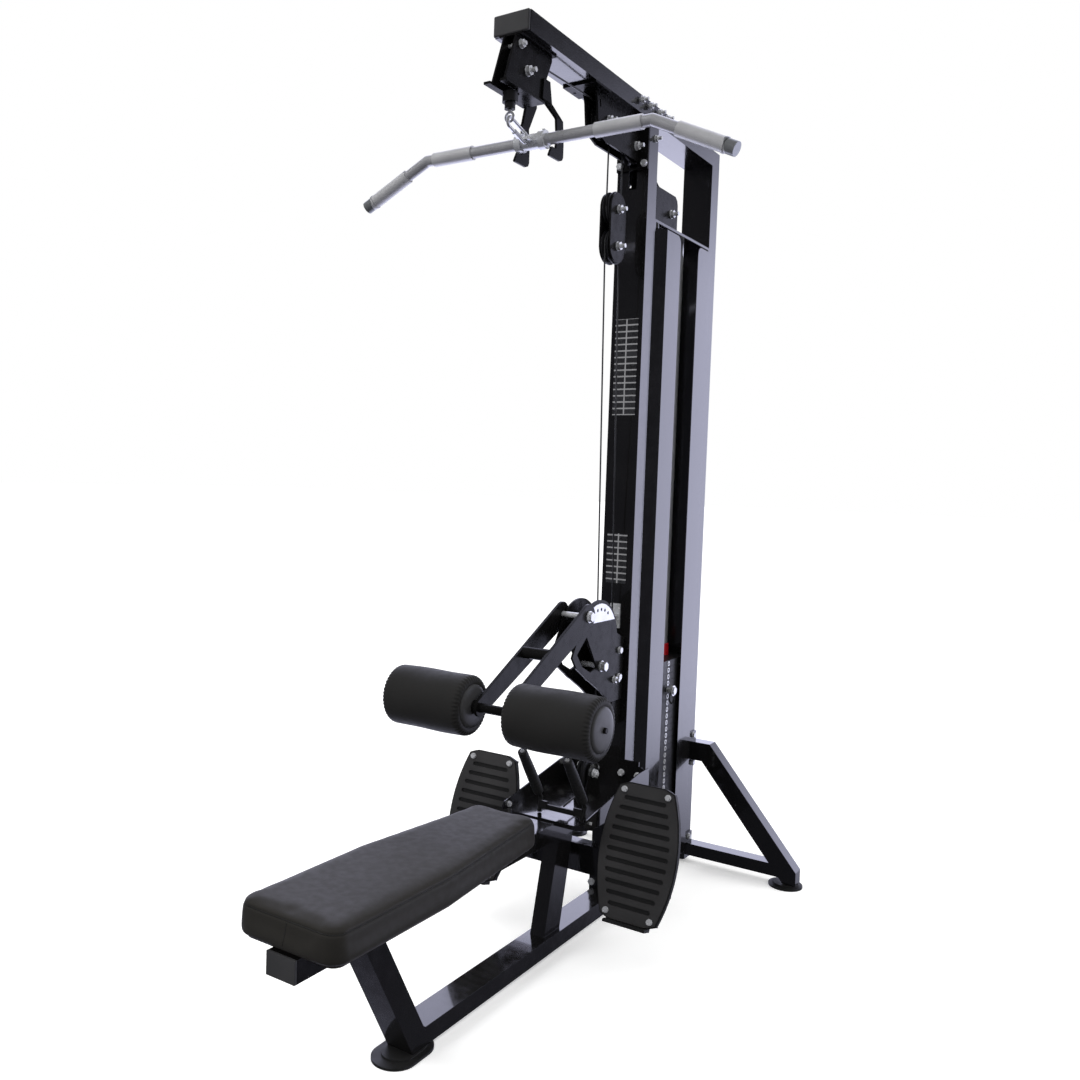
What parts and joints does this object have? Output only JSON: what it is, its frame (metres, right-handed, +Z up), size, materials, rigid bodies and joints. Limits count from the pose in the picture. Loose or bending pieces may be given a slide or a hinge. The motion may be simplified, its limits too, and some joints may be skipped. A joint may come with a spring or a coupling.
{
  "type": "lat pulldown machine",
  "caption": "Lat pulldown and low row machine with a pin-selected weight stack, padded bench, thigh rollers, footplates and a cable system on a bolted tube frame.",
  "frame": {"origin": "on the floor, at the centre of the front foot", "axes": "+X to the right seen from the bench, +Y from the bench to the tower, +Z up"},
  "size_m": [1.0748, 1.9678, 2.41],
  "materials": {
    "black_paint": "gloss powder coat",
    "zinc": "bright zinc",
    "chrome": "polished",
    "cast_black": "satin black",
    "black_plastic": "matte",
    "red_plastic": "gloss",
    "vinyl": "grained vinyl over foam",
    "rubber": "matte",
    "knurled_metal": "knurled",
    "plywood": "stained"
  },
  "bodies": {
    "frame": {"base_frame": "black_paint", "front_column": "black_paint", "rear_column": "black_paint", "top_beam": "black_paint", "tube_caps": "black_plastic", "gusset_bracket": "black_paint", "pulley_housing": "black_paint", "bar_hooks": "black_paint", "frame_bolts": "zinc", "stack_bracket": "black_paint", "rod_plates": "black_paint", "guide_rods": "chrome", "stack_bumpers": "rubber", "resting_plates": "cast_black", "resting_bushes": "chrome", "stack_shrouds": "black_paint", "cable_anchor": "zinc", "instruction_plates": "black_plastic", "thigh_bracket": "black_paint", "index_disc": "chrome", "pivot_bolt": "chrome", "footplates": "black_plastic", "footplate_covers": "black_plastic", "foot_tray": "black_paint", "bench_board": "plywood", "bench_pad": "vinyl", "rear_stabiliser": "black_paint", "floor_feet": "rubber", "lat_cable_run": "rubber"},
    "front_wheel": {"front_pulley": "black_plastic"},
    "overhead_wheel": {"overhead_pulley": "black_plastic"},
    "column_wheel": {"column_pulley": "black_plastic"},
    "stack_wheel": {"stack_pulley": "black_plastic"},
    "low_wheel": {"low_pulley": "black_plastic"},
    "block": {"block_plates": "black_paint", "block_bolts": "zinc", "block_cable": "rubber", "row_cable_riser": "rubber"},
    "block_wheel_upper": {"block_pulley_upper": "black_plastic"},
    "block_wheel_lower": {"block_pulley_lower": "black_plastic"},
    "stack": {"head_plate": "cast_black", "selector_stem": "chrome", "lifted_plates": "cast_black", "lifted_bushes": "chrome", "stack_sleeves": "red_plastic", "stack_cable": "rubber"},
    "pin": {"selector_pin": "chrome"},
    "arms": {"roller_arms": "black_paint"},
    "roller_r": {"roller_right": "vinyl"},
    "roller_l": {"roller_left": "vinyl"},
    "adjuster": {"pop_pin": "chrome"},
    "bar": {"lat_bar": "chrome", "bar_sleeves": "knurled_metal", "bar_swivel": "zinc", "quick_link": "chrome", "cable_stop": "chrome", "lat_cable_drop": "rubber"},
    "handle": {"row_handle": "zinc", "row_grips": "rubber", "row_cable_lead": "rubber"}
  },
  "joints": [
    {"name": "stack_lift", "type": "slide", "parent": "frame", "child": "stack", "axis": [0, 0, 1], "range_m": [0, 0.9], "deforming": ["stack_cable"]},
    {"name": "bar_pull", "type": "slide", "parent": "frame", "child": "bar", "axis": [0, -0.4691, -0.8832], "range_m": [0, 0.9], "deforming": ["lat_cable_drop"]},
    {"name": "front_wheel_spin", "type": "hinge", "parent": "frame", "child": "front_wheel", "pos_m": [0, 0.357, 2.286], "axis": [1, 0, 0], "continuous": true},
    {"name": "overhead_wheel_spin", "type": "hinge", "parent": "frame", "child": "overhead_wheel", "pos_m": [0, 0.789, 2.3], "axis": [1, 0, 0], "continuous": true},
    {"name": "column_wheel_spin", "type": "hinge", "parent": "frame", "child": "column_wheel", "pos_m": [0, 0.965, 2.28], "axis": [1, 0, 0], "continuous": true},
    {"name": "stack_wheel_spin", "type": "hinge", "parent": "frame", "child": "stack_wheel", "pos_m": [0, 1.227, 2.143], "axis": [1, 0, 0], "continuous": true},
    {"name": "row_pull", "type": "slide", "parent": "frame", "child": "handle", "axis": [0, -0.9588, 0.284], "range_m": [0, 0.21], "deforming": ["row_cable_lead"]},
    {"name": "block_drop", "type": "slide", "parent": "frame", "child": "block", "axis": [0, 0, -1], "range_m": [0, 0.105], "deforming": ["block_cable", "row_cable_riser"]},
    {"name": "low_wheel_spin", "type": "hinge", "parent": "frame", "child": "low_wheel", "pos_m": [0, 0.85, 0.45], "axis": [1, 0, 0], "continuous": true},
    {"name": "block_lower_spin", "type": "hinge", "parent": "block", "child": "block_wheel_lower", "pos_m": [0, 0.877, 1.973], "axis": [1, 0, 0], "continuous": true},
    {"name": "block_upper_spin", "type": "hinge", "parent": "block", "child": "block_wheel_upper", "pos_m": [0, 0.877, 2.077], "axis": [1, 0, 0], "continuous": true},
    {"name": "pin_pull", "type": "slide", "parent": "stack", "child": "pin", "axis": [1, 0, 0], "range_m": [0, 0.075]},
    {"name": "arm_raise", "type": "hinge", "parent": "frame", "child": "arms", "pos_m": [0, 0.736, 0.922], "axis": [-1, 0, 0], "range_deg": [0, 24]},
    {"name": "roller_right_spin", "type": "hinge", "parent": "arms", "child": "roller_r", "pos_m": [0, 0.332, 0.722], "axis": [1, 0, 0], "continuous": true},
    {"name": "roller_left_spin", "type": "hinge", "parent": "arms", "child": "roller_l", "pos_m": [0, 0.332, 0.722], "axis": [1, 0, 0], "continuous": true},
    {"name": "adjuster_pull", "type": "slide", "parent": "frame", "child": "adjuster", "axis": [1, 0, 0], "range_m": [0, 0.012]}
  ],
  "couplings": [
    {"joint": "bar_pull", "follows": "stack_lift", "ratio": 1},
    {"joint": "front_wheel_spin", "follows": "stack_lift", "rad_per_m": 22.727},
    {"joint": "overhead_wheel_spin", "follows": "stack_lift", "rad_per_m": 22.727},
    {"joint": "column_wheel_spin", "follows": "stack_lift", "rad_per_m": 22.727},
    {"joint": "stack_wheel_spin", "follows": "stack_lift", "rad_per_m": 22.727},
    {"joint": "block_upper_spin", "follows": "stack_lift", "rad_per_m": -22.727},
    {"joint": "block_drop", "follows": "row_pull", "ratio": 0.5},
    {"joint": "low_wheel_spin", "follows": "row_pull", "rad_per_m": -22.727},
    {"joint": "block_lower_spin", "follows": "row_pull", "rad_per_m": 11.364}
  ]
}
